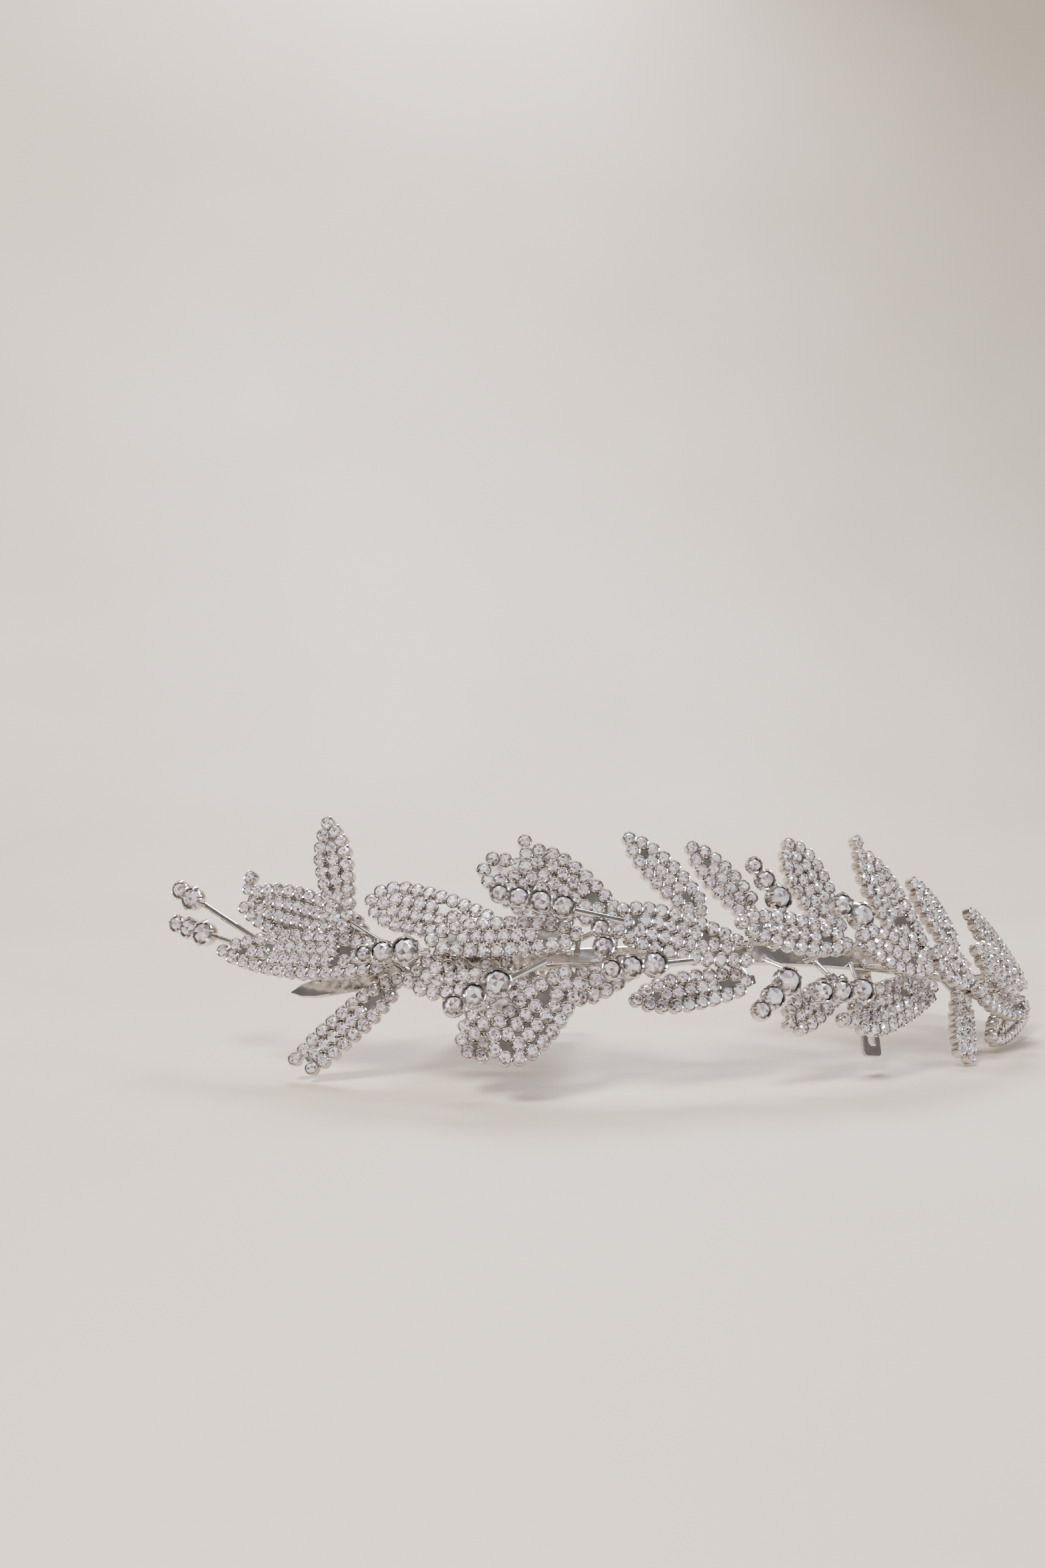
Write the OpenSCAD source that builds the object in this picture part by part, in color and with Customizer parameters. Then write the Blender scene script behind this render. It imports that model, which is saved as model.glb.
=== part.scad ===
// Laurel leaf tiara: an open arc of rhinestone leaves and buds on a bent stem, with two wire combs.
// Everything is laid out around the stem's own circle and then set down in its resting pose,
// leaning back on its lower leaves.

/* [Stem] */
// Radius of the head's arc, to the middle of the stem strip
stem_r = 93; // [85:1:115]
// Height of the flat stem strip
stem_w = 3.2; // [2.4:0.1:4]
// Thickness of the flat stem strip
stem_t = 1.0; // [0.8:0.1:1.4]
// Station of the stem's left end, in degrees from the front
stem_from = -44.5; // [-48:0.5:-43.5]
// Station of the stem's right end, in degrees from the front
stem_to = 52; // [50:1:56]
// Length of the pointed end of the strip
stem_point = 5; // [3:0.5:8]

/* [Stone setting] */
// Diameter of the small leaf stones
stone_d = 1.8; // [1.5:0.05:2]
// Room between neighbouring leaf stones, edge to edge
stone_gap = 0.3; // [0.2:0.05:0.6]
// Metal around a stone, from its seat to the outside of its cup
cup_wall = 0.2; // [0.15:0.05:0.3]
// Height of a leaf's cups, which is the thickness of a leaf
cup_h = 1.8; // [1.5:0.1:2.1]
// Depth of the seat that a stone sits in
seat_depth = 1.0; // [0.7:0.1:1.2]
// Gap around a stone in its seat
stone_clear = 0.05; // [0.03:0.01:0.1]
// How far a leaf stone's crown stands above its cup
crown_h = 0.35; // [0.2:0.05:0.6]

/* [Leaf stacking] */
// Gap between the stem's face and the back of the lowest leaves
stem_gap = 0.3; // [0.2:0.1:0.6]
// Gap between the stones of one layer of leaves and the back of the next layer
layer_gap = 0.15; // [0.1:0.05:1]
// Diameter of the stalk wire that is soldered from a leaf or a bud to the stem
stalk_d = 1.0; // [0.8:0.1:1.2]

/* [Buds] */
// Metal around a bud stone, from its seat to the outside of its cup
bud_wall = 0.3; // [0.2:0.05:0.4]
// Height of a bud's cup as a share of its stone's diameter
bud_cup_share = 0.7; // [0.65:0.05:0.8]
// Depth of a bud stone's seat as a share of its diameter
bud_seat_share = 0.4; // [0.3:0.05:0.45]

/* [Combs] */
// Station of the left comb's middle, in degrees from the front
comb_left_at = -28; // [-32:1:-26]
// Station of the right comb's middle, in degrees from the front
comb_right_at = 40; // [36:1:42]
// Number of teeth on a comb
comb_teeth = 9; // [7:1:11]
// Distance between neighbouring teeth
tooth_pitch = 3; // [2.8:0.1:3.4]
// Length of a tooth from the spine to its tip
tooth_len = 44; // [36:1:48]
// Radius of a tooth's gentle downward bend
tooth_bend_r = 90; // [80:5:200]
// How steeply a tooth rises where it leaves the spine, in degrees
tooth_rise = 16; // [8:1:18]
// How far the teeth turn in towards each other, where 0 is parallel and 1 is square to the spine
toe_in = 0.4; // [0:0.05:0.4]
// Turn of the left comb's teeth upwards about their spine, in degrees
comb_left_lift = 0; // [-1:0.5:20]
// Turn of the right comb's teeth upwards about their spine, in degrees
comb_right_lift = 17; // [8:0.5:20]
// Diameter of the comb wire
wire_d = 0.8; // [0.7:0.05:0.9]
// Distance between a tooth's two legs, centre to centre
leg_gap = 1.4; // [1.2:0.05:1.45]
// Diameter of a comb's spine
spine_d = 1.6; // [1.2:0.1:2]

/* [Pin tab] */
// Station of the pin tab, in degrees from the front
tab_at = 14.5; // [12:0.5:18]
// Width of the pin tab
tab_w = 3.8; // [3:0.1:5]
// Thickness of the pin tab
tab_t = 0.8; // [0.6:0.1:1.2]
// How far the pin tab reaches below the middle of the stem
tab_drop = 16; // [10:0.5:17]
// Diameter of the eyelet near the pin tab's lower end
eyelet_d = 1.6; // [1:0.1:2]
// Distance from the pin tab's lower end to the eyelet's centre
eyelet_up = 2.6; // [2.2:0.1:4]
// Radius of the pin tab's lower corners
tab_corner = 0.8; // [0.3:0.1:1.2]

/* [Resting pose] */
// How far the whole tiara leans back
lean_back = 20.8; // [15:0.1:25]
// How far its left side is raised
side_roll = 3.1; // [0:0.1:5]
// Height of the arc's centre above the table; the front stands higher
rest_h = -12.8; // [-20:0.1:-5]
// Shift of the arc's centre to the right
rest_x = 4; // [-5:0.5:5]
// Shift of the arc's centre to the back
rest_y = 63.5; // [40:0.5:70]

/* [Hidden] */
$fn = 32;
eps = 0.01;
// Distance between neighbouring leaf stones, centre to centre
stone_pitch = stone_d + stone_gap;
seat_r = stone_d / 2 + stone_clear;
cup_r = seat_r + cup_wall;
layer_pitch = cup_h + crown_h + layer_gap;
stem_out = stem_r + stem_t / 2;
stem_in = stem_r - stem_t / 2;
// Narrowest two rows may run side by side before they merge into one, as a share of the pitch
merge_share = 0.47;
// Width of a leaf's root, as a share of its widest place
root_share = 0.3;
// Samples along a leaf when its stones are set out
outline_steps = 18;
row_steps = 110;
fill_steps = 55;
// Least distance between stones along a leaf's edge and elsewhere, as a share of the pitch
edge_share = 0.985;
close_share = 0.935;
// How much smaller than the strip its pointed ends are, on every side
end_inset = 0.05;
// Height of the stem's middle band that a stalk's foot may stand on
foot_band = 2;
// A bud's wire runs a little above the back of its cups and past its root, and its stalk is thinner
bud_wire_up = 0.6 * stalk_d;
bud_wire_past = 0.5;
bud_stalk_d = 0.9 * stalk_d;
// Crown of a stone: its flat top as a share of the diameter, and its height on a bud
table_share = 0.55;
bud_crown_share = 0.22;
comb_half = (comb_teeth - 1) / 2 * tooth_pitch;
spine_over = 2;
// The teeth aren't square to the curved spine, so a wire's wrap round it runs askew
wrap_skew = (1 - toe_in) * leg_gap / 2 * comb_half / (stem_in - 2 * spine_d);
wrap_r = spine_d / 2 + wire_d / 2 + wrap_skew + 2 * eps;
wrap_turn = 250;
wrap_gap = 0.6;
spine_r = stem_in - wrap_r - wire_d / 2 - wrap_skew - eps;

// Leaves, left to right. Each row is
// [station deg, height, direction deg, length, width, lean outwards deg, layer,
//  widest place as a share of the length, fullness of the tip, width left at the tip as a share,
//  extra stones past the tip, their turn deg, stalk's distance from the root, stalk foot's shift].
// A direction is counted in the leaf's own plane, from rightwards along the stem towards up.
upper_leaves = [
    [-37.5, 6.5, 157, 27, 9.4, -9, 1, 0.55, 2.6, 0.35, 2, -75, 1.5, 0],
    [-38.5, 5.5, 99, 21, 6.8, -5, 3.2, 0.65, 2, 0, 0, 0, 3, 9],
    [-24.5, 5, 162, 23, 8.6, -5, 1, 0.7, 2.6, 0.25, 0, 0, 1.5, 0],
    [-17.5, 4, 139, 18.5, 8.2, -2, 1, 0.6, 3, 0.4, 0, 0, 1.5, 0],
    [-13, 2.5, 138, 21, 8.6, -2, 2, 0.6, 2.6, 0.3, 1, -45, 1.5, 0],
    [-4.5, 4.5, 132, 19.5, 6.4, -1, 1, 0.5, 2.2, 0.15, 0, 0, 1.5, 0],
    [1, 4, 132, 18, 6.4, -1, 1, 0.5, 2.2, 0.15, 0, 0, 1.5, 0],
    [9.5, 2, 118, 19, 8.6, 0, 1, 0.6, 2.4, 0.15, 0, 0, 1.5, 0],
    [19.5, -1.5, 127, 23.5, 8.6, -1, 2, 0.6, 2.4, 0.15, 1, -30, 1.5, 0],
    [27, 2.5, 136, 17, 6.4, -1, 1, 0.5, 2.2, 0.15, 0, 0, 1.5, 0],
    [46, 1, 158, 28, 6.6, -8, 1, 0.5, 2.4, 0.2, 0, 0, 1.5, 0],
];
lower_leaves = [
    [-34.5, -0.5, 215, 22, 6.4, -1, 0, 0.5, 6, 0.75, 1, -50, 1.5, 0],
    [-21, -2.5, 227, 18.5, 8.6, 1, 1.8, 0.7, 3, 0.3, 0, 0, 1.5, 0],
    [-17.5, -4.5, 224, 19.5, 9.4, 6, 4, 0.7, 2.6, 0.3, 0, 0, 6, 0],
    [-12, -2.5, 202, 13.5, 6.6, -1, 2, 0.6, 2.6, 0.3, 0, 0, 1.5, 0],
    [-0.5, -5.5, 189, 22.5, 6.6, -3, 2, 0.6, 2.2, 0.1, 0, 0, 1.5, 0],
    [8.5, -5, 213, 16, 6.6, 2, 2, 0.7, 3, 0.3, 0, 0, 1.5, 0],
    [18.5, -5.5, 200, 22.5, 8.4, -2, 3, 0.65, 2.6, 0.2, 1, -20, 1.5, 0],
    [26.5, -3.5, 252, 14, 6.4, 4, 1, 0.5, 5, 0.7, 0, 0, 1.5, 0],
    [46.5, -1.5, 201, 28, 6.6, -7, 0.9, 0.5, 3, 0.3, 0, 0, 1.5, 0],
];
front_leaves = [
    [-34, 1, 169, 33.5, 8.4, -7, 2.2, 0.45, 2.2, 0.12, 0, 0, 1.5, 0],
    [-23, -1.5, 187, 18, 8.6, -2, 3, 0.6, 2.2, 0.1, 0, 0, 1.5, 0],
    [-16.5, 1, 178, 25.5, 6.6, -5, 4.3, 0.5, 3, 0.4, 0, 0, 1.5, 0],
    [-1.5, -2.5, 165, 25, 8.6, -3, 3, 0.6, 2.6, 0.3, 0, 0, 1.5, 0],
    [7.5, -1, 171, 21, 6.6, -3, 4.2, 0.5, 2.6, 0.2, 0, 0, 1.5, 0],
    [15, -5, 161, 16, 6.6, -1, 5.3, 0.5, 3, 0.3, 0, 0, 1.5, 0],
    [22.5, -5, 159, 12, 6.6, 1, 4.1, 0.5, 2.6, 0.2, 0, 0, 1.5, 0],
    [33, -4, 160, 17, 6.6, -3, 3.5, 0.5, 2.4, 0.2, 0, 0, 7.5, 0],
    [37, -6, 177, 20, 6.4, -4, 2.4, 0.5, 2.4, 0.2, 0, 0, 2.5, 0],
];
// Buds, left to right: [station deg, height, direction deg, wire before the first cup,
//  lean outwards deg, layer, stone diameters from the wire to the tip,
//  stalk's distance from the root, stalk foot's shift].
bud_rows = [
    [-52.5, 9, 155, 7.5, 6, 1, [3.6, 3, 2.4], -10, 10],
    [-50.5, 9.5, 143, 15, 6, 1, [3.4, 2.6], 0, 10],
    [-30.5, 0.5, 176, 3, -3, 4.3, [3.8, 3.2, 2.4], 2, 0],
    [-22.5, -5.5, 205, 4, 10, 6, [3.8, 3.2, 2.8], -4, 0],
    [-15.5, -3.5, 95, 1.5, 0, 5.6, [2.8, 2.4], -1, -10],
    [-14, 2, 164, 9, -2, 5.7, [3.2, 3.2, 2.8, 2.4], 0, -10],
    [-8.5, -4.5, 186, 6, 4, 5.4, [3.4, 3, 2.6], 1, -6],
    [2, -5, 222, 3, 7, 3.3, [3.8, 3.2, 2.6], 0, 0],
    [3, 4.5, 128, 4, 8, 2.2, [3.6, 2.8, 2.2], 0, 0],
    [8, -8.5, 184, 1.5, 1, 4.6, [3.6, 3.2, 3], 1, 8],
    [11.5, 3, 158, 4, 2, 3.3, [3.8, 3.4], 0, 0],
];

// ---- named columns of the tables ----
function station(row) = row[0];
function root_h(row) = row[1];
function direction(row) = row[2];
function leaf_len(row) = row[3];
function leaf_w(row) = row[4];
function leaf_lean(row) = row[5];
function leaf_layer(row) = row[6];
function bud_reach(row) = row[3];
function bud_lean(row) = row[4];
function bud_layer(row) = row[5];
function bud_ds(row) = row[6];

// Radius of the back face of a layer
function layer_r(layer) = stem_out + stem_gap + layer * layer_pitch;

// ---- where the stones of a leaf sit, in the leaf's own plane with its root at the origin ----
function centre_len(row) = leaf_len(row) - 2 * cup_r;
function half_width(row, u) =
    let (w = leaf_w(row) / 2 - cup_r, top = row[7])
    u < top ? w * (1 - (1 - root_share) * pow((top - u) / top, 2))
            : w * (1 - (1 - row[9]) * pow((u - top) / (1 - top), row[8]));

// One row of spots from the tip to the root, at a share of the way from the midrib to one edge
function row_spots(row, share, steps) = [
    for (i = [steps:-1:0]) [cup_r + i / steps * centre_len(row), share * half_width(row, i / steps)]
];
// Both edges' rows, side by side, where they are too far apart to be one row
function edge_spots(row) = [
    for (i = [row_steps:-1:0]) let (u = i / row_steps, y = half_width(row, u))
        if (y >= merge_share * stone_pitch) each [[cup_r + u * centre_len(row), y],
                                                  [cup_r + u * centre_len(row), -y]]
];
function hook_spots(row) = [
    for (k = [1:1:row[10]]) [leaf_len(row) - cup_r, 0] + k * stone_pitch * [cos(row[11]), sin(row[11])]
];
function tip_spots(row) = half_width(row, 1) < merge_share * stone_pitch ? [[leaf_len(row) - cup_r, 0]] : [];
// Keeps each spot that is far enough from all those kept before it
function is_clear(p, kept, limit, i = 0) =
    i == len(kept) ? true : norm(p - kept[i]) < limit ? false : is_clear(p, kept, limit, i + 1);
function keep_clear(spots, kept, limit, i = 0) =
    i == len(spots) ? kept
    : keep_clear(spots, is_clear(spots[i], kept, limit) ? concat(kept, [spots[i]]) : kept, limit, i + 1);
function rim_spots(row) =
    keep_clear(edge_spots(row), concat(hook_spots(row), tip_spots(row)), edge_share * stone_pitch);
// Rows inside the rim are evenly spread, and stones fill what room is left where the rows run together
function row_count(row) = floor((leaf_w(row) - 2 * cup_r) / (close_share * stone_pitch)) + 1;
function inner_spots(row) = [
    for (k = [1:1:row_count(row) - 2]) each row_spots(row, 1 - 2 * k / (row_count(row) - 1), row_steps)
];
function fill_spots(row) = [for (k = [-4:4]) each row_spots(row, k / 5, fill_steps)];
function leaf_spots(row) = keep_clear(concat(inner_spots(row), row_spots(row, 0, row_steps), fill_spots(row)),
                                      rim_spots(row), close_share * stone_pitch);

// ---- placing ----
module resting_pose() {
    translate([rest_x, rest_y, rest_h]) rotate([0, side_roll, 0]) rotate([-lean_back, 0, 0]) children();
}
module on_layer(at, h, layer, dir, lean) {
    rotate([0, 0, at]) translate([0, -layer_r(layer), h])
        rotate([90, 0, 0]) rotate([0, 0, dir]) rotate([0, -lean, 0]) children();
}
// The same placing, for a point
function turn_x(p, a) = [p.x, p.y * cos(a) - p.z * sin(a), p.y * sin(a) + p.z * cos(a)];
function turn_y(p, a) = [p.x * cos(a) + p.z * sin(a), p.y, -p.x * sin(a) + p.z * cos(a)];
function turn_z(p, a) = [p.x * cos(a) - p.y * sin(a), p.x * sin(a) + p.y * cos(a), p.z];
function on_layer_point(p, at, h, layer, dir, lean) =
    turn_z(turn_x(turn_z(turn_y(p, -lean), dir), 90) + [0, -layer_r(layer), h], at);

// A round wire from one point to another
module wire(from, to, d) {
    v = to - from;
    translate(from) rotate([0, acos(v.z / norm(v)), atan2(v.y, v.x)]) cylinder(d = d, h = norm(v));
}
// A stalk from a point on a leaf to the stem's face, coped where it meets the strip
module stalk(from, shift, d) {
    at = atan2(from.x, -from.y) + shift / stem_r * 180 / PI;
    h = max(-foot_band / 2, min(foot_band / 2, from.z));
    difference() {
        wire(from, [stem_r * sin(at), -stem_r * cos(at), h], d);
        cylinder(r = stem_out, h = 4 * stem_w, center = true, $fn = 180);
    }
}

// ---- stones and their settings ----
module stone(d, depth, crown) {
    rotate_extrude() polygon([[0, 0], [d / 2, 0], [d / 2, depth], [d / 2 * table_share, depth + crown],
                              [0, depth + crown]]);
}
module leaf(row) {
    top = [for (i = [0:outline_steps]) let (u = i / outline_steps)
        [cup_r + u * centre_len(row), half_width(row, u)]];
    low = [for (i = [outline_steps:-1:0]) [top[i].x, -top[i].y]];
    spots = leaf_spots(row);
    root = on_layer_point([row[12], 0, cup_h / 6], station(row), root_h(row), leaf_layer(row),
                          direction(row), leaf_lean(row));
    color("silver") resting_pose() {
        on_layer(station(row), root_h(row), leaf_layer(row), direction(row), leaf_lean(row)) difference() {
            linear_extrude(cup_h) union() {
                polygon(concat(top, low));
                for (p = rim_spots(row)) translate(p) circle(r = cup_r);
            }
            for (p = spots) translate([p.x, p.y, cup_h - seat_depth]) cylinder(r = seat_r, h = cup_h);
        }
        stalk(root, row[13], stalk_d);
    }
}
module leaf_stones(rows) {
    color("white") resting_pose() for (row = rows)
        on_layer(station(row), root_h(row), leaf_layer(row), direction(row), leaf_lean(row))
            for (p = leaf_spots(row)) translate([p.x, p.y, cup_h - seat_depth])
                stone(stone_d, seat_depth, crown_h);
}
// Distance of a bud's cup from the bud's root, along its wire
function bud_x(row, i) = i == 0 ? bud_reach(row)
    : bud_x(row, i - 1) + (bud_ds(row)[i - 1] + bud_ds(row)[i]) / 2 + 2 * stone_clear + bud_wall;
module bud(row) {
    ds = bud_ds(row);
    root = on_layer_point([row[7], 0, bud_wire_up], station(row), root_h(row), bud_layer(row),
                          direction(row), bud_lean(row));
    color("silver") resting_pose() {
        on_layer(station(row), root_h(row), bud_layer(row), direction(row), bud_lean(row)) difference() {
            union() {
                for (i = [0:len(ds) - 1]) translate([bud_x(row, i), 0, 0])
                    cylinder(r = ds[i] / 2 + stone_clear + bud_wall, h = ds[i] * bud_cup_share);
                wire([min(0, row[7]) - bud_wire_past, 0, bud_wire_up],
                     [bud_reach(row), 0, bud_wire_up], stalk_d);
            }
            for (i = [0:len(ds) - 1])
                translate([bud_x(row, i), 0, ds[i] * (bud_cup_share - bud_seat_share)])
                    cylinder(r = ds[i] / 2 + stone_clear, h = ds[i]);
        }
        stalk(root, row[8], bud_stalk_d);
    }
}
module bud_stones() {
    color("white") resting_pose() for (row = bud_rows)
        on_layer(station(row), root_h(row), bud_layer(row), direction(row), bud_lean(row))
            for (i = [0:len(bud_ds(row)) - 1]) let (d = bud_ds(row)[i])
                translate([bud_x(row, i), 0, d * (bud_cup_share - bud_seat_share)])
                    stone(d, d * bud_seat_share, d * bud_crown_share);
}

// ---- stem and pin tab ----
module stem_end(at, side) {
    w = stem_w / 2 - end_inset;
    rotate([0, 0, at]) translate([0, -stem_in - end_inset, 0]) rotate([90, 0, 0])
        linear_extrude(stem_t - 2 * end_inset)
            polygon([[-side * stem_t / 2, -w], [-side * stem_t / 2, w], [0, w],
                     [side * stem_point * 0.6, stem_w * 0.35], [side * stem_point, 0],
                     [side * stem_point * 0.6, -stem_w * 0.35], [0, -w]]);
}
module main_stem() {
    color("gainsboro") resting_pose() union() {
        rotate([0, 0, stem_from - 90]) rotate_extrude(angle = stem_to - stem_from, $fn = 180)
            translate([stem_in, -stem_w / 2]) square([stem_t, stem_w]);
        stem_end(stem_from, -1);
        stem_end(stem_to, 1);
    }
}
module pin_tab() {
    w = tab_w / 2;
    color("gainsboro") resting_pose() rotate([0, 0, tab_at])
        translate([0, -(stem_in - tab_t - w * w / stem_in), 0]) rotate([90, 0, 0]) difference() {
            linear_extrude(tab_t) union() {
                translate([-w, -tab_drop + tab_corner]) square([tab_w, tab_drop - tab_corner + stem_w / 2]);
                translate([-w + tab_corner, -tab_drop]) square([tab_w - 2 * tab_corner, tab_drop]);
                for (s = [-1, 1]) translate([s * (w - tab_corner), -tab_drop + tab_corner]) circle(r = tab_corner);
            }
            translate([0, -tab_drop + eyelet_up, -1]) cylinder(d = eyelet_d, h = tab_t + 2);
        }
}

// ---- combs ----
module comb_spine(at) {
    half = (comb_half + spine_over) / spine_r * 180 / PI;
    color("gainsboro") resting_pose() rotate([0, 0, at - half - 90])
        rotate_extrude(angle = 2 * half, $fn = 180) translate([spine_r, 0]) circle(d = spine_d, $fn = 32);
}
// A tooth is one wire that leaves the spine, turns back at the tip and returns beside itself.
// Its own plane has x along the tooth and y up, and its two wraps run round the spine at the origin.
module tooth() {
    sweep = tooth_len / tooth_bend_r * 180 / PI;
    dir = tooth_rise - sweep;
    bend_at = (tooth_bend_r - wrap_r) * [sin(tooth_rise), -cos(tooth_rise)];
    tip = bend_at + tooth_bend_r * [-sin(dir), cos(dir)];
    for (s = [-1, 1]) translate([0, 0, s * leg_gap / 2]) {
        rotate([0, 0, 90 + tooth_rise + wrap_gap]) rotate_extrude(angle = wrap_turn)
            translate([wrap_r, 0]) circle(d = wire_d);
        translate(bend_at) rotate([0, 0, 90 + dir]) rotate_extrude(angle = sweep, $fn = 180)
            translate([tooth_bend_r, 0]) circle(d = wire_d, $fn = 32);
    }
    translate(tip + eps * [cos(dir), sin(dir)]) rotate([0, 0, dir]) rotate([90, 0, 0]) rotate([0, 0, -90])
        rotate_extrude(angle = 180) translate([leg_gap / 2, 0]) circle(d = wire_d);
}
module comb_teeth_at(at, lift) {
    color("gainsboro") resting_pose() for (k = [0:comb_teeth - 1]) {
        turn = (k * tooth_pitch - comb_half) / spine_r * 180 / PI;
        rotate([0, 0, at + turn]) translate([0, -spine_r, 0])
            rotate([0, 0, (toe_in - 1) * turn]) rotate([90, 0, 90]) rotate([0, 0, lift]) tooth();
    }
}

main_stem();
comb_spine(comb_left_at);  // comb_left_spine
comb_teeth_at(comb_left_at, comb_left_lift);  // comb_left_teeth
comb_spine(comb_right_at);  // comb_right_spine
comb_teeth_at(comb_right_at, comb_right_lift);  // comb_right_teeth
pin_tab();
for (i = [1:len(upper_leaves)])
    leaf(upper_leaves[i - 1]);
for (i = [1:len(lower_leaves)])
    leaf(lower_leaves[i - 1]);
for (i = [1:len(front_leaves)])
    leaf(front_leaves[i - 1]);
for (i = [1:len(bud_rows)])
    bud(bud_rows[i - 1]);
leaf_stones(upper_leaves);  // upper_leaf_stones
leaf_stones(lower_leaves);  // lower_leaf_stones
leaf_stones(front_leaves);  // front_leaf_stones
bud_stones();
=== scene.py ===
import math

import bmesh
import bpy
from mathutils import Matrix, Vector


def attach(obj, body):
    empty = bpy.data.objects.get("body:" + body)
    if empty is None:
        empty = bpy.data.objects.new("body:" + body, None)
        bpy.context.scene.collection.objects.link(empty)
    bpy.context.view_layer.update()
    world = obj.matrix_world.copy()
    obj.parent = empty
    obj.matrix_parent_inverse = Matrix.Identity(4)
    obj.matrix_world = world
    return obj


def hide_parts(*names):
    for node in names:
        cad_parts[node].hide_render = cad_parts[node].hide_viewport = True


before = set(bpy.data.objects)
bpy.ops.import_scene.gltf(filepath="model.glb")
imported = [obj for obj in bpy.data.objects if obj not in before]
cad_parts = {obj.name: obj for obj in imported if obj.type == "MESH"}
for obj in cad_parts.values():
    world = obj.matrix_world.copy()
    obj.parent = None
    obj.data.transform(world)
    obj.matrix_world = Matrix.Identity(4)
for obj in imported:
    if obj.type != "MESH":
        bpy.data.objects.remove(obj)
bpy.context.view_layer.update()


# ---- Main stem ----
# The stem is a flat brass band bent to the curve of a head and plated with rhodium.
# It is sheared to a small point at each end and its edges are tumbled round. All the rest is soldered to it.
stem_r, stem_w, stem_t = 93.0, 3.2, 1.0
stem_from, stem_to = -44.5, 52.0
lean_back, side_roll = 20.8, 3.1
stem_in, stem_out = stem_r - stem_t / 2, stem_r + stem_t / 2

# Every piece is drawn in millimetres on the stem's own plane, then laid back as the tiara stands.
resting = (
    Matrix.Scale(0.001, 4)
    @ Matrix.Translation((4, 63.5, -12.8))
    @ Matrix.Rotation(math.radians(side_roll), 4, "Y")
    @ Matrix.Rotation(math.radians(-lean_back), 4, "X")
)


def linear(hex_colour):
    """An sRGB hex colour as the linear values a shader takes."""
    parts = [int(hex_colour[i : i + 2], 16) / 255 for i in (1, 3, 5)]
    return tuple(c / 12.92 if c <= 0.04045 else ((c + 0.055) / 1.055) ** 2.4 for c in parts) + (1,)


def add_node(material, kind, settings=None, links=None):
    """Adds a node to a material: settings go on its properties or sockets, links run into its sockets."""
    node = material.node_tree.nodes.new(kind)
    for name, value in (settings or {}).items():
        if isinstance(name, str) and hasattr(node, name):
            setattr(node, name, value)
        else:
            node.inputs[name].default_value = value
    for name, source in (links or {}).items():
        material.node_tree.links.new(source, node.inputs[name])
    return node


def new_finish(name, settings):
    """A material with only its surface shader, and that shader."""
    material = bpy.data.materials.new(name)
    material.use_nodes = True
    surface = material.node_tree.nodes["Principled BSDF"]
    for socket, value in settings.items():
        surface.inputs[socket].default_value = value
    return material, surface


def colour_stops(ramp_node, stops):
    """Sets a colour ramp's stops from (position, hex colour) pairs."""
    stops_now = ramp_node.color_ramp.elements
    while len(stops_now) < len(stops):
        stops_now.new(0.5)
    for stop, (position, colour) in zip(stops_now, stops):
        stop.position = position
        stop.color = linear(colour)


def plated_metal(name, dark, light, roughness, polish_mm):
    """Plated wire or sheet: a polished metal whose colour and gloss wander a little where it was handled."""
    material, surface = new_finish(name, {"Metallic": 1.0})
    place = add_node(material, "ShaderNodeTexCoord")
    wander = add_node(material, "ShaderNodeTexNoise", {"Scale": 1000 / polish_mm, "Detail": 4.0},
                      {"Vector": place.outputs["Object"]})
    tone = add_node(material, "ShaderNodeValToRGB", links={"Fac": wander.outputs["Fac"]})
    colour_stops(tone, [(0.3, dark), (0.7, light)])
    gloss = add_node(material, "ShaderNodeMapRange",
                     {"From Min": 0.3, "From Max": 0.7, "To Min": roughness * 0.6, "To Max": roughness * 1.5},
                     {"Value": wander.outputs["Fac"]})
    # Tumbling marks, a quarter of a millimetre apart
    marks = add_node(material, "ShaderNodeTexNoise", {"Scale": 4000.0, "Detail": 2.0},
                     {"Vector": place.outputs["Object"]})
    relief = add_node(material, "ShaderNodeBump", {"Strength": 0.08, "Distance": 0.00005},
                      {"Height": marks.outputs["Fac"]})
    material.node_tree.links.new(tone.outputs["Color"], surface.inputs["Base Color"])
    material.node_tree.links.new(gloss.outputs["Result"], surface.inputs["Roughness"])
    material.node_tree.links.new(relief.outputs["Normal"], surface.inputs["Normal"])
    return material


def finish_piece(name, bm, material, slot, *nodes, smooth_below=40):
    """Makes a bmesh in the stem's millimetres a piece for CAD nodes; smooth_below 0 keeps its facets."""
    bmesh.ops.transform(bm, matrix=resting, verts=bm.verts)
    mesh = bpy.data.meshes.new(name)
    bm.to_mesh(mesh)
    bm.free()
    mesh.materials.append(material)
    if smooth_below:
        mesh.shade_smooth()
        mesh.set_sharp_from_angle(angle=math.radians(smooth_below))
    piece = bpy.data.objects.new(name, mesh)
    bpy.context.collection.objects.link(piece)
    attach(piece, "root")
    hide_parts(*nodes)
    return piece


def loft(bm, rings):
    """Skins closed loops of corners in order and caps both ends."""
    loops = [[bm.verts.new(p) for p in ring] for ring in rings]
    for near, far in zip(loops, loops[1:]):
        for i in range(len(near)):
            j = (i + 1) % len(near)
            bm.faces.new((near[i], near[j], far[j], far[i]))
    bm.faces.new(reversed(loops[0]))
    bm.faces.new(loops[-1])


# Rhodium over polished brass is a cool, slightly dark silver that mirrors its surroundings.
rhodium = plated_metal("rhodium plated brass", "#bdb9b5", "#dedbd8", 0.12, 3.0)


def band_section(half_height):
    """Corners of the band's section as (distance outwards, height), with the tumbled edges cut off."""
    cut = min(0.22, half_height * 0.4)
    t = stem_t / 2
    return [(t, half_height - cut), (t - cut, half_height), (-t + cut, half_height), (-t, half_height - cut),
            (-t, -half_height + cut), (-t + cut, -half_height), (t - cut, -half_height),
            (t, -half_height + cut)]


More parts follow.
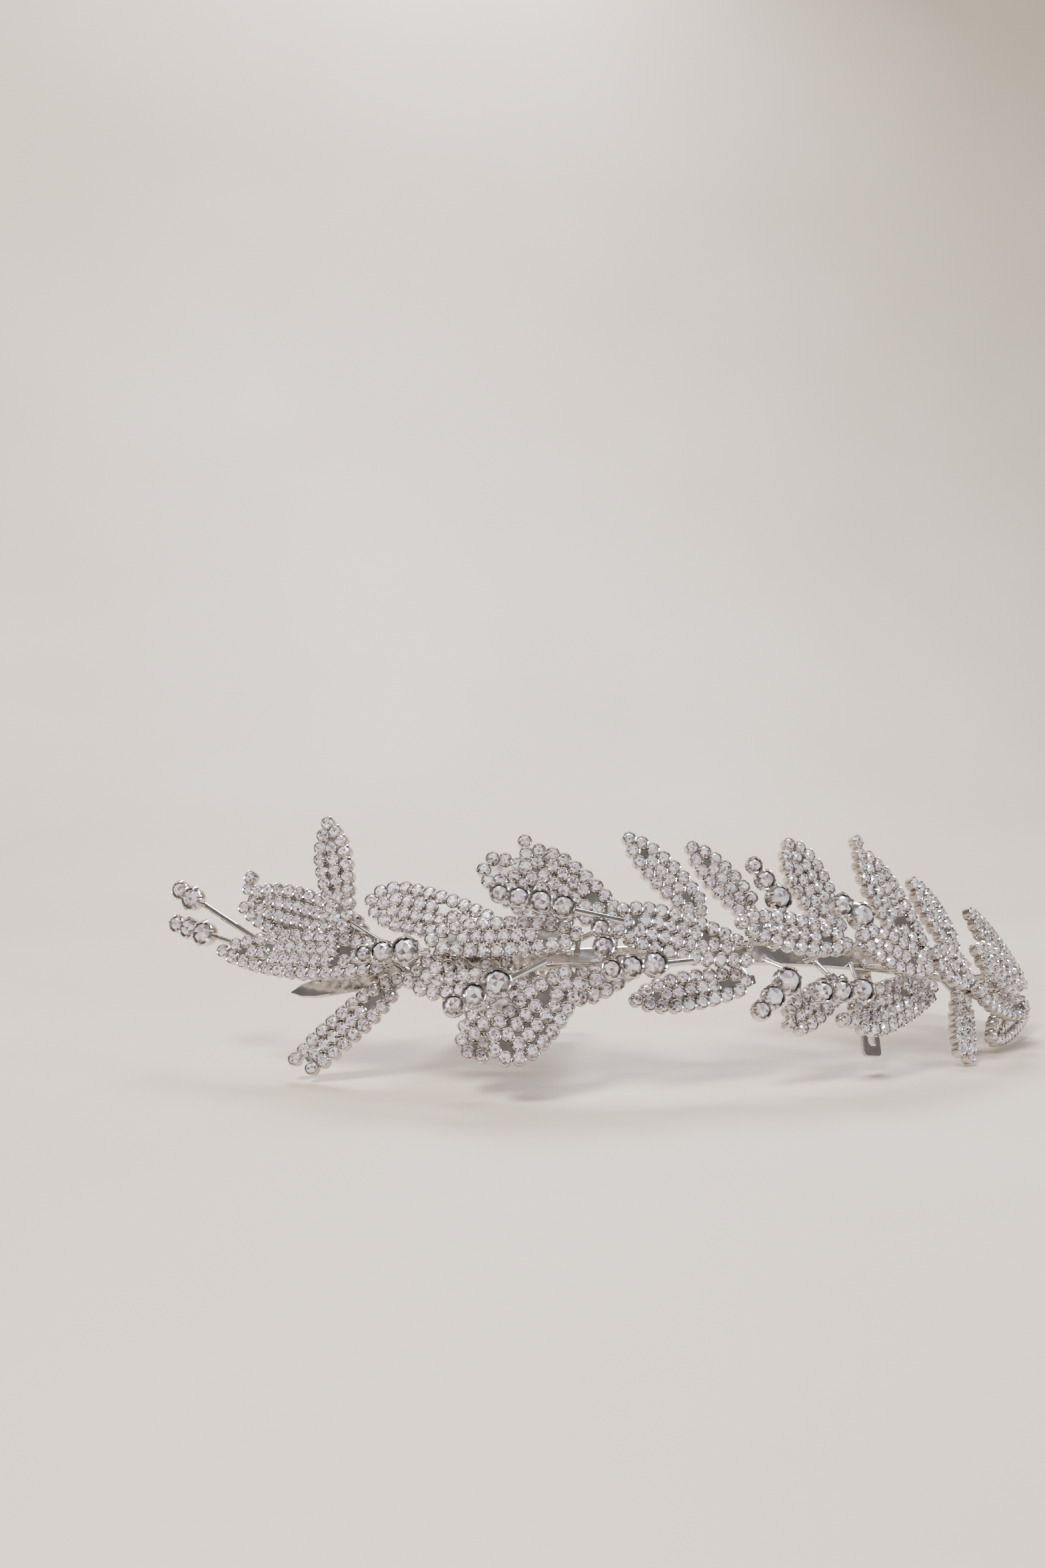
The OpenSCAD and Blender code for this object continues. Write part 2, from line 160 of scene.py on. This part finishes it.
def band_ring(angle, along, half_height):
    """The band's section at an angle round the arc, and that far past it along the tangent."""
    a = math.radians(angle)
    out, tangent = Vector((math.sin(a), -math.cos(a), 0)), Vector((math.cos(a), math.sin(a), 0))
    return [out * (stem_r + r) + tangent * along + Vector((0, 0, h)) for r, h in band_section(half_height)]


# Each end narrows to its point: distance past the end of the arc, and half the height left there
point_steps = [(5, 0.12), (4.3, 0.5), (3, 1.12), (1, 1.46)]
rings = [band_ring(stem_from, -along, half) for along, half in point_steps]
rings += [band_ring(stem_from + (stem_to - stem_from) * i / 72, 0, stem_w / 2) for i in range(73)]
rings += [band_ring(stem_to, along, half) for along, half in reversed(point_steps)]
bm = bmesh.new()
loft(bm, rings)
finish_piece("stem_band", bm, rhodium, "rhodium_settings", "main_stem")


# ---- Stone-set leaves ----
# A leaf is rhodium-plated cup chain laid in rows and soldered side by side over a thin stamped plate.
# Each cup is a drawn brass cup with four claws folded over the rim of its stone.
# A straight stalk wire runs from the leaf's back to the face of the stem.
stone_d, stone_pitch = 1.8, 2.1
seat_r, cup_r = 0.95, 1.15
cup_h, seat_depth, crown_h = 1.8, 1.0, 0.35
layer_pitch, stem_gap, stalk_d = 2.3, 0.3, 1.0
# Two rows closer than merge_share of the pitch run as one; edge_share and close_share of the pitch are the
# least distance between stones along a leaf's rim and inside it; a leaf's root is root_share of its width
merge_share, edge_share, close_share, root_share = 0.47, 0.985, 0.935, 0.3
row_steps, fill_steps = 110, 55

# Each row: station in degrees, height, direction, length, width, lean outwards, layer, widest place,
# fullness of the tip, width left at the tip, extra tip stones, their turn, stalk's place, shift of its foot.
upper_leaves = [
    (-37.5, 6.5, 157, 27, 9.4, -9, 1, 0.55, 2.6, 0.35, 2, -75, 1.5, 0),
    (-38.5, 5.5, 99, 21, 6.8, -5, 3.2, 0.65, 2, 0, 0, 0, 3, 9),
    (-24.5, 5, 162, 23, 8.6, -5, 1, 0.7, 2.6, 0.25, 0, 0, 1.5, 0),
    (-17.5, 4, 139, 18.5, 8.2, -2, 1, 0.6, 3, 0.4, 0, 0, 1.5, 0),
    (-13, 2.5, 138, 21, 8.6, -2, 2, 0.6, 2.6, 0.3, 1, -45, 1.5, 0),
    (-4.5, 4.5, 132, 19.5, 6.4, -1, 1, 0.5, 2.2, 0.15, 0, 0, 1.5, 0),
    (1, 4, 132, 18, 6.4, -1, 1, 0.5, 2.2, 0.15, 0, 0, 1.5, 0),
    (9.5, 2, 118, 19, 8.6, 0, 1, 0.6, 2.4, 0.15, 0, 0, 1.5, 0),
    (19.5, -1.5, 127, 23.5, 8.6, -1, 2, 0.6, 2.4, 0.15, 1, -30, 1.5, 0),
    (27, 2.5, 136, 17, 6.4, -1, 1, 0.5, 2.2, 0.15, 0, 0, 1.5, 0),
    (46, 1, 158, 28, 6.6, -8, 1, 0.5, 2.4, 0.2, 0, 0, 1.5, 0),
]
lower_leaves = [
    (-34.5, -0.5, 215, 22, 6.4, -1, 0, 0.5, 6, 0.75, 1, -50, 1.5, 0),
    (-21, -2.5, 227, 18.5, 8.6, 1, 1.8, 0.7, 3, 0.3, 0, 0, 1.5, 0),
    (-17.5, -4.5, 224, 19.5, 9.4, 6, 4, 0.7, 2.6, 0.3, 0, 0, 6, 0),
    (-12, -2.5, 202, 13.5, 6.6, -1, 2, 0.6, 2.6, 0.3, 0, 0, 1.5, 0),
    (-0.5, -5.5, 189, 22.5, 6.6, -3, 2, 0.6, 2.2, 0.1, 0, 0, 1.5, 0),
    (8.5, -5, 213, 16, 6.6, 2, 2, 0.7, 3, 0.3, 0, 0, 1.5, 0),
    (18.5, -5.5, 200, 22.5, 8.4, -2, 3, 0.65, 2.6, 0.2, 1, -20, 1.5, 0),
    (26.5, -3.5, 252, 14, 6.4, 4, 1, 0.5, 5, 0.7, 0, 0, 1.5, 0),
    (46.5, -1.5, 201, 28, 6.6, -7, 0.9, 0.5, 3, 0.3, 0, 0, 1.5, 0),
]
front_leaves = [
    (-34, 1, 169, 33.5, 8.4, -7, 2.2, 0.45, 2.2, 0.12, 0, 0, 1.5, 0),
    (-23, -1.5, 187, 18, 8.6, -2, 3, 0.6, 2.2, 0.1, 0, 0, 1.5, 0),
    (-16.5, 1, 178, 25.5, 6.6, -5, 4.3, 0.5, 3, 0.4, 0, 0, 1.5, 0),
    (-1.5, -2.5, 165, 25, 8.6, -3, 3, 0.6, 2.6, 0.3, 0, 0, 1.5, 0),
    (7.5, -1, 171, 21, 6.6, -3, 4.2, 0.5, 2.6, 0.2, 0, 0, 1.5, 0),
    (15, -5, 161, 16, 6.6, -1, 5.3, 0.5, 3, 0.3, 0, 0, 1.5, 0),
    (22.5, -5, 159, 12, 6.6, 1, 4.1, 0.5, 2.6, 0.2, 0, 0, 1.5, 0),
    (33, -4, 160, 17, 6.6, -3, 3.5, 0.5, 2.4, 0.2, 0, 0, 7.5, 0),
    (37, -6, 177, 20, 6.4, -4, 2.4, 0.5, 2.4, 0.2, 0, 0, 2.5, 0),
]


def half_width(row, u):
    """Half the leaf's width over its cup centres, at a share u of the way from root to tip."""
    widest, w = row[7], row[4] / 2 - cup_r
    if u < widest:
        return w * (1 - (1 - root_share) * ((widest - u) / widest) ** 2)
    return w * (1 - (1 - row[9]) * ((u - widest) / (1 - widest)) ** row[8])


def row_spots(row, share, steps):
    """One row of spots from tip to root, at a share of the way from the midrib to one edge."""
    return [(cup_r + i / steps * (row[3] - 2 * cup_r), share * half_width(row, i / steps))
            for i in range(steps, -1, -1)]


def keep_clear(spots, kept, limit):
    """Adds each spot that is far enough from all those kept before it."""
    for p in spots:
        if all(math.dist(p, q) >= limit for q in kept):
            kept.append(p)
    return kept


def leaf_spots(row):
    """Centres of a leaf's stones on its own plane, the rim's first."""
    turn = math.radians(row[11])
    kept = [(row[3] - cup_r + k * stone_pitch * math.cos(turn), k * stone_pitch * math.sin(turn))
            for k in range(1, row[10] + 1)]
    if half_width(row, 1) < merge_share * stone_pitch:
        kept.append((row[3] - cup_r, 0))
    rim = [spot for near, far in zip(row_spots(row, 1, row_steps), row_spots(row, -1, row_steps))
           if near[1] >= merge_share * stone_pitch for spot in (near, far)]
    keep_clear(rim, kept, edge_share * stone_pitch)
    rows = int((row[4] - 2 * cup_r) / (close_share * stone_pitch)) + 1
    inside = [p for k in range(1, rows - 1) for p in row_spots(row, 1 - 2 * k / (rows - 1), row_steps)]
    filling = [p for k in range(-4, 5) for p in row_spots(row, k / 5, fill_steps)]
    return keep_clear(inside + row_spots(row, 0, row_steps) + filling, kept, close_share * stone_pitch)


def on_layer(station, height, layer, direction, lean):
    """The plane of a leaf or bud: x from root to tip, z out from the stem."""
    return (
        Matrix.Rotation(math.radians(station), 4, "Z")
        @ Matrix.Translation((0, -(stem_out + stem_gap + layer * layer_pitch), height))
        @ Matrix.Rotation(math.radians(90), 4, "X")
        @ Matrix.Rotation(math.radians(direction), 4, "Z")
        @ Matrix.Rotation(math.radians(-lean), 4, "Y")
    )


def put(bm, template, matrix):
    """Adds a copy of a small mesh, moved by a matrix."""
    copy = template.copy()
    copy.transform(matrix)
    bm.from_mesh(copy)
    bpy.data.meshes.remove(copy)


def as_template(bm, name):
    """Keeps a small bmesh as a mesh to copy."""
    bmesh.ops.recalc_face_normals(bm, faces=bm.faces)
    mesh = bpy.data.meshes.new(name)
    bm.to_mesh(mesh)
    bm.free()
    return mesh


def turned(bm, profile, steps):
    """Spins a profile of (radius, height) points round the vertical; it starts and ends on the axis."""
    points = [bm.verts.new((r, 0, z)) for r, z in profile]
    edges = [bm.edges.new(pair) for pair in zip(points, points[1:])]
    bmesh.ops.spin(bm, geom=points + edges, cent=(0, 0, 0), axis=(0, 0, 1), angle=math.tau,
                   steps=steps, use_merge=True, use_duplicate=False)
    bmesh.ops.remove_doubles(bm, verts=bm.verts, dist=0.0005)


def cup_template(name, radius, wall, height, seat, claws, steps):
    """A drawn cup with a rounded foot, a seat for the stone's foot, and claws bent in over the rim."""
    bm = bmesh.new()
    outer, rim = radius + wall, height - 0.2 * radius
    foot = [(0, 0), (outer * 0.68, 0), (outer * 0.9, outer * 0.12), (outer, outer * 0.34)]
    lip = [(outer, rim - 0.06), (outer - wall * 0.4, rim), (radius, rim - 0.06)]
    turned(bm, foot + lip + [(radius, height - seat), (0, height - seat)], steps)
    for k in range(claws):
        around = Matrix.Rotation(math.tau * (k + 0.5) / claws, 4, "Z")
        lean_in = Matrix.Rotation(math.radians(-24), 4, "Y")
        claw = (around @ Matrix.Translation((radius + wall * 0.25, 0, rim + radius * 0.06)) @ lean_in
                @ Matrix.Diagonal((1, 1.25, 1, 1)))
        bmesh.ops.create_cone(bm, cap_ends=True, segments=6, radius1=radius * 0.19, radius2=radius * 0.11,
                              depth=radius * 0.5, matrix=claw)
    return as_template(bm, name)


def stone_template(name):
    """A machine-cut round stone, 1 across: a table of eight, star facets, kites and break facets."""
    bm = bmesh.new()

    def ring(count, r, z, shift):
        turns = [math.tau * (i + shift) / count for i in range(count)]
        return [bm.verts.new((r * math.cos(a), r * math.sin(a), z)) for a in turns]

    centre = bm.verts.new((0, 0, 1))
    top, mid = ring(8, 0.29, 1, 0), ring(8, 0.41, 0.55, 0.5)
    girdle, foot = ring(16, 0.5, 0, 0), ring(16, 0.5, -0.55, 0)
    for i in range(8):
        j = (i + 1) % 8
        bm.faces.new((centre, top[i], top[j]))
        bm.faces.new((top[i], mid[i], top[j]))
        bm.faces.new((top[i], mid[i - 1], girdle[2 * i], mid[i]))
        bm.faces.new((mid[i], girdle[2 * i], girdle[2 * i + 1]))
        bm.faces.new((mid[i], girdle[2 * i + 1], girdle[(2 * i + 2) % 16]))
    for i in range(16):
        j = (i + 1) % 16
        bm.faces.new((girdle[i], foot[i], foot[j], girdle[j]))
    bm.faces.new(reversed(foot))
    return as_template(bm, name)


# Clear crystal over a silvered foil, with its reflections painted into the base colour: each facet gets a
# random tone, one near black, the next warm beige for the room and the next blue-white for the light,
# standing in for the foil's mirror back showing through the facets.
foil_crystal, surface = new_finish("foiled crystal", {"Metallic": 0.5, "Roughness": 0.13, "Coat Weight": 1.0,
                                                      "Coat Roughness": 0.03})
facet = add_node(foil_crystal, "ShaderNodeAttribute", {"attribute_name": "facet"})
# This ramp paints reflections: near black, warm beige and blue-white facet colours stand in for the room and
# the lights mirrored in the stones.
painted_reflection_ramp = add_node(foil_crystal, "ShaderNodeValToRGB", links={"Fac": facet.outputs["Fac"]})
colour_stops(painted_reflection_ramp, [(0.0, "#5a5352"), (0.16, "#a0969a"), (0.4, "#d2c8ca"),
                       (0.65, "#ece4e6"), (0.84, "#e8ecfa"), (1.0, "#ffffff")])
foil_crystal.node_tree.links.new(painted_reflection_ramp.outputs["Color"], surface.inputs["Base Color"])

chain_cup = cup_template("chain cup", seat_r, 0.2, cup_h + 0.12, seat_depth + 0.1, 4, 12)
cut_stone = stone_template("cut stone")


def set_stone(bm, place, x, y, diameter, girdle_z, crown, turn):
    """Sets one cut stone with its girdle's lower edge a little above its seat."""
    put(bm, cut_stone, place @ Matrix.Translation((x, y, girdle_z)) @ Matrix.Rotation(turn, 4, "Z")
        @ Matrix.Diagonal((diameter, diameter, crown, 1)))


def paint_facet_reflections(bm):
    """Gives every facet a fixed tone from its own number, which the crystal's ramp turns into a painted
    reflection, so that the stones glint unevenly.
    """
    tone = bm.faces.layers.float.new("facet")
    for face in bm.faces:
        face[tone] = math.sin(face.index * 12.9898 + 1.7) * 43758.5453 % 1


def wire(bm, points, radius, sides=10):
    """A round wire through points, with domed ends."""
    points = [Vector(p) for p in points]
    ahead = (points[1] - points[0]).normalized()
    side = ahead.orthogonal().normalized()
    rings = []
    for i, p in enumerate(points):
        near, far = points[max(i - 1, 0)], points[min(i + 1, len(points) - 1)]
        turn = ahead.rotation_difference((far - near).normalized())
        ahead, side = turn @ ahead, turn @ side
        up = ahead.cross(side)
        ring = lambda centre, r: [
            centre + r * (math.cos(math.tau * k / sides) * side + math.sin(math.tau * k / sides) * up)
            for k in range(sides)
        ]
        if i == 0:
            rings += [ring(p - ahead * radius * 0.3, radius * 0.5)]
        rings.append(ring(p, radius))
        if i == len(points) - 1:
            rings += [ring(p + ahead * radius * 0.3, radius * 0.5)]
    loft(bm, rings)


def stalk(bm, start, shift, diameter):
    """A straight wire from a leaf's or bud's back to the face of the stem, with its bead of solder."""
    turn = math.atan2(start.x, -start.y) + shift / stem_r
    height = max(-1, min(1, start.z))
    foot = Vector((stem_out * math.sin(turn), -stem_out * math.cos(turn), height))
    start_out = (foot - start).normalized()
    wire(bm, [start, foot - start_out * 0.15], diameter / 2)
    bead = Matrix.Translation(foot + Vector((math.sin(turn), -math.cos(turn), 0)) * 0.1)
    bmesh.ops.create_icosphere(bm, subdivisions=2, radius=diameter * 0.62, matrix=bead)


# Height of the plate's back over the back of the cups, and its thickness
plate_from, plate_t = 0.35, 1.0

for group, rows in (("upper_leaf", upper_leaves), ("lower_leaf", lower_leaves), ("front_leaf", front_leaves)):
    stones = bmesh.new()
    for number, row in enumerate(rows, 1):
        spots = leaf_spots(row)
        place = on_layer(row[0], row[1], row[6], row[2], row[5])
        bm = bmesh.new()
        # The stamped plate and the solder on it, between the cups and out to the middle of the rim cups
        edge = [(cup_r + i / 24 * (row[3] - 2 * cup_r), half_width(row, i / 24)) for i in range(25)]
        outline = [bm.verts.new((x, y, plate_from)) for x, y in edge + [(x, -y) for x, y in reversed(edge)]]
        plate = bm.faces.new(outline)
        raised = bmesh.ops.extrude_face_region(bm, geom=[plate])["geom"]
        upper = [v for v in raised if isinstance(v, bmesh.types.BMVert)]
        bmesh.ops.translate(bm, vec=(0, 0, plate_t), verts=upper)
        bmesh.ops.recalc_face_normals(bm, faces=bm.faces)
        bmesh.ops.transform(bm, matrix=place, verts=bm.verts)
        for i, (x, y) in enumerate(spots):
            # Rows follow the leaf's edge, so the claws of the rim cups turn with it
            ahead = math.atan2(y, row[3] * 0.6) * 0.5
            put(bm, chain_cup, place @ Matrix.Translation((x, y, 0)) @ Matrix.Rotation(ahead, 4, "Z"))
            set_stone(stones, place, x, y, 2 * seat_r - 0.06, cup_h - 0.18, crown_h + 0.12, i * 0.7 + number)
        stalk(bm, place @ Vector((row[12], 0, 0.3)), row[13], stalk_d)
        finish_piece(f"{group}_{number}_setting", bm, rhodium, "rhodium_settings", f"{group}_{number}")
    paint_facet_reflections(stones)
    finish_piece(f"{group}_crystals", stones, foil_crystal, "crystal", f"{group}_stones", smooth_below=0)


# ---- Buds ----
# A bud is a short row of two to four larger stones, each in its own cast cup with six claws.
# The cups are soldered nose to tail on a polished wire, which is soldered to the stem by a thin stalk.
bud_rows = [
    (-52.5, 9, 155, 7.5, 6, 1, (3.6, 3, 2.4), -10, 10),
    (-50.5, 9.5, 143, 15, 6, 1, (3.4, 2.6), 0, 10),
    (-30.5, 0.5, 176, 3, -3, 4.3, (3.8, 3.2, 2.4), 2, 0),
    (-22.5, -5.5, 205, 4, 10, 6, (3.8, 3.2, 2.8), -4, 0),
    (-15.5, -3.5, 95, 1.5, 0, 5.6, (2.8, 2.4), -1, -10),
    (-14, 2, 164, 9, -2, 5.7, (3.2, 3.2, 2.8, 2.4), 0, -10),
    (-8.5, -4.5, 186, 6, 4, 5.4, (3.4, 3, 2.6), 1, -6),
    (2, -5, 222, 3, 7, 3.3, (3.8, 3.2, 2.6), 0, 0),
    (3, 4.5, 128, 4, 8, 2.2, (3.6, 2.8, 2.2), 0, 0),
    (8, -8.5, 184, 1.5, 1, 4.6, (3.6, 3.2, 3), 1, 8),
    (11.5, 3, 158, 4, 2, 3.3, (3.8, 3.4), 0, 0),
]
wall, foot_up, past, bud_cup_h, bud_seat, bud_crown = 0.3, 0.6, 0.5, 0.7, 0.4, 0.22

stones = bmesh.new()
for number, row in enumerate(bud_rows, 1):
    station, height, direction, reach, lean, layer, diameters, stalk_at, foot_shift = row
    place = on_layer(station, height, layer, direction, lean)
    bm = bmesh.new()
    x = reach
    for i, d in enumerate(diameters):
        if i:
            x += (diameters[i - 1] + d) / 2 + 0.1 + wall
        r = d / 2 + 0.05
        cup = cup_template("bud cup", r, wall, d * bud_cup_h + 0.1, d * bud_seat, 6, 20)
        put(bm, cup, place @ Matrix.Translation((x, 0, 0)) @ Matrix.Rotation(0.3 * i, 4, "Z"))
        set_stone(stones, place, x, 0, d - 0.02, d * bud_cup_h - 0.22 * d, d * (bud_crown + 0.16),
                  i * 0.9 + number)
    wire_ends = [Vector((min(0, stalk_at) - past, 0, foot_up)), Vector((reach, 0, foot_up))]
    wire(bm, [place @ p for p in wire_ends], stalk_d / 2, 14)
    stalk(bm, place @ Vector((stalk_at, 0, foot_up)), foot_shift, 0.9 * stalk_d)
    finish_piece(f"bud_{number}_setting", bm, rhodium, "rhodium_settings", f"bud_{number}")
paint_facet_reflections(stones)
finish_piece("bud_crystals", stones, foil_crystal, "crystal", "bud_stones", smooth_below=0)


# ---- Combs ----
# Each comb is a spine rod soldered inside the stem and nine teeth of bright drawn steel wire.
# A tooth is one wire that wraps the spine, twists on itself for a third, then opens into two legs and a tip.
comb_teeth, tooth_pitch, tooth_len, toe_in = 9, 3.0, 44.0, 0.4
tooth_bend_r, tooth_rise, twist_share = 90.0, math.radians(16), 0.36
wire_d, leg_gap, spine_d = 0.8, 1.4, 1.6
comb_half = (comb_teeth - 1) / 2 * tooth_pitch
wrap_skew = (1 - toe_in) * leg_gap / 2 * comb_half / (stem_in - 2 * spine_d)
wrap_r = spine_d / 2 + wire_d / 2 + wrap_skew + 0.02
spine_r = stem_in - wrap_r - wire_d / 2 - wrap_skew - 0.01

# Drawn steel wire is darker than the plating, and fine die lines run through its polish.
comb_steel = plated_metal("bright drawn steel", "#85817d", "#a9a5a1", 0.16, 2.0)


def tooth_point(run, aside, above):
    """A point on a tooth's bend: how far along it runs, how far to its side, and how far above its middle."""
    turn = tooth_rise - run / tooth_bend_r
    bend_x = (tooth_bend_r - wrap_r) * math.sin(tooth_rise)
    bend_y = -(tooth_bend_r - wrap_r) * math.cos(tooth_rise)
    r = tooth_bend_r + above
    return Vector((bend_x - r * math.sin(turn), bend_y + r * math.cos(turn), aside))


def tooth_leg(side):
    """One leg from its wrap round the spine to where the tip begins, as points."""
    points = []
    for i in range(15, 0, -1):
        around = math.pi / 2 + tooth_rise + math.radians(250) * i / 15
        points.append(Vector((wrap_r * math.cos(around), wrap_r * math.sin(around), side * leg_gap / 2)))
    ease = lambda t: (3 - 2 * t) * t * t if 0 < t < 1 else float(t >= 1)
    twist_len = tooth_len * twist_share
    for i in range(89):
        run = tooth_len * i / 88
        # Two and a half turns bring each leg back to its own side; the wires close up for the twist
        turn = math.tau * 2.5 * min(run / twist_len, 1)
        closed = ease(run / 2.5) * (1 - ease((run - twist_len + 1.5) / 6))
        reach = leg_gap / 2 - (leg_gap / 2 - wire_d * 0.52) * closed
        swap = -1 if run >= twist_len else math.cos(turn)
        points.append(tooth_point(run, side * reach * swap, side * reach * math.sin(turn) * closed))
    return points


def comb(side_name, station, lift):
    """One comb, its spine and its teeth as two pieces."""
    half = (comb_half + 2) / spine_r
    middle = math.radians(station)
    bm = bmesh.new()
    turns = [middle + half * (i / 24 - 1) for i in range(49)]
    wire(bm, [(spine_r * math.sin(a), -spine_r * math.cos(a), 0) for a in turns], spine_d / 2, 20)
    finish_piece(f"comb_{side_name}_rod", bm, comb_steel, "silver_wire", f"comb_{side_name}_spine")
    bm = bmesh.new()
    for k in range(comb_teeth):
        turn = (k * tooth_pitch - comb_half) / spine_r
        place = (
            Matrix.Rotation(middle + turn, 4, "Z")
            @ Matrix.Translation((0, -spine_r, 0))
            @ Matrix.Rotation((toe_in - 1) * turn, 4, "Z")
            @ Matrix.Rotation(math.radians(90), 4, "Z") @ Matrix.Rotation(math.radians(90), 4, "X")
            @ Matrix.Rotation(math.radians(lift), 4, "Z")
        )
        there, back = tooth_leg(1), tooth_leg(-1)[::-1]
        middle_tip, across = (there[-1] + back[0]) / 2, (there[-1] - back[0]) / 2
        onward = (tooth_point(tooth_len + 1, 0, 0) - tooth_point(tooth_len, 0, 0)) * leg_gap / 2
        tip = [middle_tip + across * math.cos(math.pi * i / 10) + onward * math.sin(math.pi * i / 10)
               for i in range(1, 10)]
        wire(bm, [place @ p for p in there + tip + back], wire_d / 2, 8)
    finish_piece(f"comb_{side_name}_wires", bm, comb_steel, "silver_wire", f"comb_{side_name}_teeth")


comb("left", -28, 0)
comb("right", 40, 17)


# ---- Pin tab ----
# A stamped strip, soldered behind the stem and hanging below it, takes a hair pin through its eyelet.
# Its lower corners are rounded, its edges tumbled, and it is plated with the stem.
tab_at, tab_w, tab_t, tab_drop = 14.5, 3.8, 0.8, 16.0
eyelet_d, eyelet_up, tab_corner = 1.6, 2.6, 0.8
bm = bmesh.new()
half = tab_w / 2
corners = [(-half, stem_w / 2), (half, stem_w / 2)]
for side in (1, -1):
    for i in range(7):
        a = math.radians(15 * i)
        a = a if side > 0 else math.pi / 2 - a
        corners.append((side * (half - tab_corner + tab_corner * math.cos(a)),
                        -tab_drop + tab_corner - tab_corner * math.sin(a)))
outer = [bm.verts.new((x, y, 0)) for x, y in reversed(corners)]
hole = [bm.verts.new((eyelet_d / 2 * math.cos(math.tau * i / 24), -tab_drop + eyelet_up
                      + eyelet_d / 2 * math.sin(math.tau * i / 24), 0)) for i in range(24)]
rims = [bm.edges.new(pair) for loop in (outer, hole) for pair in zip(loop, loop[1:] + loop[:1])]
bmesh.ops.triangle_fill(bm, use_beauty=True, use_dissolve=False, edges=rims)
sheet = list(bm.faces)
raised = bmesh.ops.extrude_face_region(bm, geom=sheet)["geom"]
bmesh.ops.translate(bm, vec=(0, 0, tab_t), verts=[v for v in raised if isinstance(v, bmesh.types.BMVert)])
bmesh.ops.recalc_face_normals(bm, faces=bm.faces)
sharp = [e for e in bm.edges if len(e.link_faces) == 2 and e.calc_face_angle() > 1.2
         and abs(e.verts[0].co.z - e.verts[1].co.z) < 0.001]
bmesh.ops.bevel(bm, geom=sharp, offset=0.12, offset_type="OFFSET", segments=2, profile=0.5,
                affect="EDGES", material=-1)
tab_r = stem_in - tab_t - half * half / stem_in
bmesh.ops.transform(bm, verts=bm.verts, matrix=Matrix.Rotation(math.radians(tab_at), 4, "Z")
                    @ Matrix.Translation((0, -tab_r, 0)) @ Matrix.Rotation(math.radians(90), 4, "X"))
finish_piece("pin_tab_plate", bm, rhodium, "rhodium_settings", "pin_tab")


# ---- Table, light and camera ----
# The tiara stands on a plain pale sweep that turns up behind it into a backdrop.
bm = bmesh.new()
floor_end, bend = 0.25, 0.35
run = [(-1.2, 0), (floor_end, 0)]
for step in range(1, 10):
    a = math.radians(10 * step)
    run.append((floor_end + bend * math.sin(a), bend - bend * math.cos(a)))
run.append((floor_end + bend, 1.6))
edge = [bm.verts.new((-1.5, y, z)) for y, z in run]
line = [bm.edges.new(pair) for pair in zip(edge, edge[1:])]
pulled = bmesh.ops.extrude_edge_only(bm, edges=line)["geom"]
bmesh.ops.translate(bm, vec=(3, 0, 0), verts=[v for v in pulled if isinstance(v, bmesh.types.BMVert)])
mesh = bpy.data.meshes.new("sweep")
bm.to_mesh(mesh)
bm.free()
mesh.shade_smooth()
paper, surface = new_finish("matte paper sweep", {"Roughness": 0.6})
grain = add_node(paper, "ShaderNodeTexNoise", {"Scale": 6.0, "Detail": 3.0},
                 {"Vector": add_node(paper, "ShaderNodeTexCoord").outputs["Object"]})
shade = add_node(paper, "ShaderNodeValToRGB", links={"Fac": grain.outputs["Fac"]})
colour_stops(shade, [(0.3, "#c6b9a7"), (0.7, "#d0c5b5")])
paper.node_tree.links.new(shade.outputs["Color"], surface.inputs["Base Color"])
mesh.materials.append(paper)
sweep = bpy.data.objects.new("sweep", mesh)
bpy.context.collection.objects.link(sweep)


def soft_light(name, at, aim, size, watts, colour):
    """A soft box at a place, turned to face a point."""
    lamp = bpy.data.lights.new(name, "AREA")
    lamp.shape, lamp.size, lamp.energy, lamp.color = "DISK", size, watts, linear(colour)[:3]
    light = bpy.data.objects.new(name, lamp)
    light.location = at
    light.rotation_euler = (Vector(aim) - Vector(at)).to_track_quat("-Z", "Y").to_euler()
    bpy.context.collection.objects.link(light)


soft_light("key", (-0.5, -0.55, 0.75), (0, 0, 0.02), 0.28, 19.0, "#fff8f4")
soft_light("window", (0.55, -0.35, 0.6), (0, 0, 0.02), 0.25, 4.0, "#e6eeff")
soft_light("back", (0.15, 0.45, 0.65), (0, 0, 0.02), 0.35, 8.0, "#f0f0ff")
world = bpy.data.worlds.new("studio")
world.use_nodes = True
world.node_tree.nodes["Background"].inputs["Color"].default_value = linear("#b9b5b2")
world.node_tree.nodes["Background"].inputs["Strength"].default_value = 0.5
bpy.context.scene.world = world

camera = bpy.data.objects.new("camera", bpy.data.cameras.new("camera"))
camera.data.sensor_fit, camera.data.sensor_height, camera.data.lens = "VERTICAL", 36, 40
camera.data.clip_start = 0.01
camera.location = (-0.1163, -0.2815, 0.0542)
camera.rotation_euler = (math.radians(90 - 1.25), 0, math.radians(-18))
bpy.context.collection.objects.link(camera)
bpy.context.scene.camera = camera
